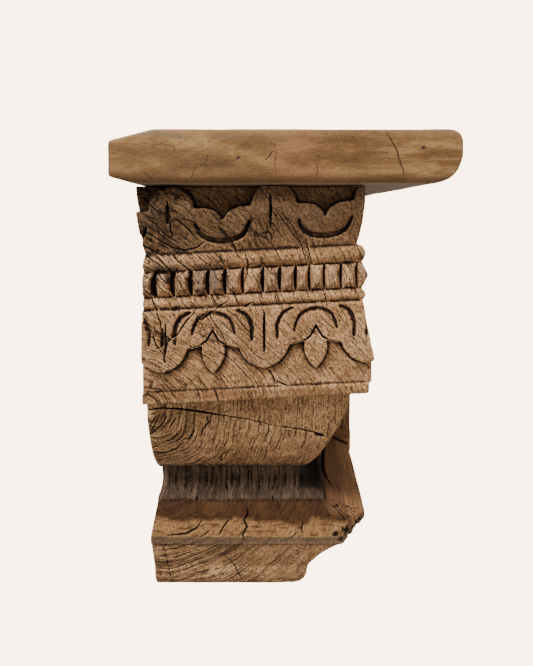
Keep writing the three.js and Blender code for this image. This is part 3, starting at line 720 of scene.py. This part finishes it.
width = width * smooth(0.1, 0.4, -normals[:, 1])
opened = np.maximum(width, 0.9 * BOARD_VOXEL * (width > 0.4 * MM))
depth += sunk * smooth(opened + 1e-9, 0.2 * opened, np.abs(side))
put_places(board, places - normals * depth[:, None])
store(board, "crack_side", side / MM)
store(board, "crack_width", width / MM)
store(board, "wear", bulge_of(board, 12))
thinned(board, BOARD_TRIANGLES, board_low, board_high)


def board_wood():
    """Waxed old wood: golden brown streaks, a paler underside from painted light, and painted shade
    on the rounded left end and along the front's lower edge.
    """
    wood = Material("board_wood", 0.6, 0.25)
    at = wood.add("ShaderNodeTexCoord", out="Object")
    x, z = (wood.add("ShaderNodeSeparateXYZ", {}, {"Vector": at}, out=axis) for axis in "XZ")
    tone = wood.noise((28, 9, 90), 5, 0.62)
    fibre = wood.noise((260, 40, 1300), 3, 0.6, shift=(2, 5, 1))
    specks = wood.noise((1300, 500, 1300), 2, 0.65, shift=(3, 1, 4))
    streaks = wood.noise((45, 9, 420), 4, 0.6, shift=(6, 2, 3))
    stops = [
        (0.34, (0.08, 0.034, 0.009)),
        (0.5, (0.185, 0.091, 0.028)),
        (0.66, (0.39, 0.225, 0.085)),
    ]
    shade = {"Fac": tone * 0.7 + fibre * 0.3}
    base = wood.add("ShaderNodeValToRGB", {"stops": stops}, shade)
    rosy = x.between(2 * MM, 12 * MM) * x.between(46 * MM, 34 * MM)
    base = wood.mix(rosy * 0.4 * tone.between(0.4, 0.56), base, (0.28, 0.115, 0.055))
    cream = x.between(50 * MM, 80 * MM) * streaks.between(0.46, 0.6)
    base = wood.mix(cream * 0.45, base, (0.36, 0.22, 0.1))
    # Paler towards the top edge of the plank.
    pale_top_strip = z.between(BOARD_TOP - 7 * MM, BOARD_TOP - 2 * MM)
    base = wood.mix(pale_top_strip * 0.35, base, (0.34, 0.19, 0.08))
    near_top = z.between(BOARD_TOP - 8 * MM, BOARD_TOP - 4 * MM) * streaks.between(0.5, 0.6)
    base = wood.mix(near_top * 0.5, base, (0.13, 0.1, 0.07))
    facing = wood.add("ShaderNodeNewGeometry", out="Normal")
    facing_up = wood.add("ShaderNodeSeparateXYZ", {}, {"Vector": facing}, out="Z")
    underneath = facing_up.between(-0.6, -0.9)
    # Painted shade: the front is painted dark along its lower edge, where it rounds under.
    lower_edge_shade = z.between(BOARD_FOOT + 7 * MM, BOARD_FOOT + 2 * MM) * (1 - underneath)
    base = wood.mix(lower_edge_shade * 0.85, base, (0.05, 0.018, 0.003))
    # Painted shade: the plank is painted dark along the rounding of its left end.
    left_end_shade = x.between(BOARD_LEFT + 2.5 * MM, BOARD_LEFT + 0.5 * MM)
    base = wood.mix(left_end_shade * 0.7, base, (0.06, 0.024, 0.008))
    pocked = x.between(15 * MM, 30 * MM) * x.between(85 * MM, 70 * MM)
    pores = wood.noise((420, 200, 420), 2, 0.5, shift=(8, 1, 2))
    base = wood.mix(pocked * pores.between(0.66, 0.72) * 0.8, base, (0.03, 0.012, 0.005))
    base = wood.mix(fibre.between(0.55, 0.7) * 0.5, base, (0.045, 0.019, 0.006))
    base = wood.mix(specks.between(0.54, 0.68) * 0.5, base, (0.06, 0.026, 0.008))
    base = wood.mix(specks.between(0.44, 0.32) * 0.22, base, (0.42, 0.24, 0.09))
    base = wood.mix(wood.attribute("wear").between(0.15, 0.8) * 0.35, base, (0.4, 0.23, 0.1))
    named = wood.named_cracks()
    # Painted light: the downward faces are painted paler, standing in for light bounced up from
    # below.
    base = wood.mix(underneath * 0.6, base, (0.4, 0.29, 0.2))
    base = wood.mix(named * 0.85, base, (0.03, 0.012, 0.005))
    wood.set("Base Color", base)
    wood.set("Roughness", 0.45 + 0.3 * tone)
    height = 0.6 * fibre + 0.5 * tone - 0.5 * specks - 1.5 * named
    wood.bump(0.6, 0.4 * MM, height)
    return wood.material


board.data.materials.clear()
board.data.materials.append(board_wood())
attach(board, "root")
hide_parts("shelf_board")

# The studio: a pale floor well below the shelf and a pale backdrop, an even soft light from all
# sides, one soft lamp at the upper left and a wider, weaker one at the lower right.
FLOOR_BELOW = 0.12
FLOOR_HALF = 3.0
STUDIO = (0.93, 0.88, 0.83)
PAPER = (1.0, 0.74, 0.54)
PAPER_GLOW = 8.5
AMBIENT_GLOW = 0.48
floor_shape = bmesh.new()
bmesh.ops.create_grid(floor_shape, x_segments=2, y_segments=2, size=FLOOR_HALF)
bmesh.ops.translate(floor_shape, verts=floor_shape.verts[:], vec=(0, 0, corbel_low.z - FLOOR_BELOW))
floor_mesh = bpy.data.meshes.new("studio_floor")
floor_shape.to_mesh(floor_mesh)
floor_shape.free()
floor = bpy.data.objects.new("studio_floor", floor_mesh)
bpy.context.scene.collection.objects.link(floor)
floor_paint = Material("studio_floor", 0.9)
floor_paint.set("Base Color", (0, 0, 0))
floor_paint.set("Emission Color", PAPER)
floor_paint.set("Emission Strength", PAPER_GLOW)
floor_mesh.materials.append(floor_paint.material)
floor.visible_diffuse = False
floor.visible_glossy = False

world = bpy.data.worlds.new("studio")
world.use_nodes = True
ambient = world.node_tree.nodes["Background"]
ambient.inputs["Color"].default_value = (*STUDIO, 1)
backdrop = world.node_tree.nodes.new("ShaderNodeBackground")
backdrop.inputs["Color"].default_value = (*PAPER, 1)
ambient.inputs["Strength"].default_value = AMBIENT_GLOW
backdrop.inputs["Strength"].default_value = PAPER_GLOW
seen = world.node_tree.nodes.new("ShaderNodeLightPath")
both = world.node_tree.nodes.new("ShaderNodeMixShader")
world.node_tree.links.new(seen.outputs["Is Camera Ray"], both.inputs[0])
world.node_tree.links.new(ambient.outputs[0], both.inputs[1])
world.node_tree.links.new(backdrop.outputs[0], both.inputs[2])
world.node_tree.links.new(both.outputs[0], world.node_tree.nodes["World Output"].inputs["Surface"])
bpy.context.scene.world = world


def lamp(name, at, size, power, aim=Vector((0.015, -0.1, 0.02))):
    light = bpy.data.lights.new(name, "AREA")
    light.size = size
    light.energy = power
    stand = bpy.data.objects.new(name, light)
    stand.location = at
    stand.rotation_euler = (aim - Vector(at)).to_track_quat("-Z", "Y").to_euler()
    bpy.context.scene.collection.objects.link(stand)


lamp("key", (-0.4, -0.75, 0.8), 0.3, 16.5)
lamp("fill", (0.6, -0.8, -0.45), 0.8, 8)

# The camera stands close and level, a little right of the corbel's middle and just under the
# shelf, with the view shifted down to take in the whole corbel.
PHOTO_HIGH = 666
FOCAL_PIXELS = 534
EYE_PIXEL = (290, 222)
CENTRE_PIXEL = (266.5, 333)
MM_PER_PIXEL = 0.562
LEFT_EDGE_PIXEL = 137.5
TOP_EDGE_PIXEL = 185
SAWN_SIDE_X = -69 * MM
FRONT_PLANE_Y = -184 * MM
REACH = FOCAL_PIXELS * MM_PER_PIXEL * MM
camera_data = bpy.data.cameras.new("camera")
camera_data.sensor_width = 36
camera_data.lens = FOCAL_PIXELS / PHOTO_HIGH * 36
camera_data.shift_x = (CENTRE_PIXEL[0] - EYE_PIXEL[0]) / PHOTO_HIGH
camera_data.shift_y = -(CENTRE_PIXEL[1] - EYE_PIXEL[1]) / PHOTO_HIGH
camera_data.clip_start = 0.01
camera = bpy.data.objects.new("camera", camera_data)
camera.location = (
    SAWN_SIDE_X + (EYE_PIXEL[0] - LEFT_EDGE_PIXEL) * MM_PER_PIXEL * MM,
    FRONT_PLANE_Y - REACH,
    CORBEL_TOP - (EYE_PIXEL[1] - TOP_EDGE_PIXEL) * MM_PER_PIXEL * MM,
)
camera.rotation_euler = (math.radians(90), 0, 0)
bpy.context.scene.collection.objects.link(camera)
bpy.context.scene.camera = camera
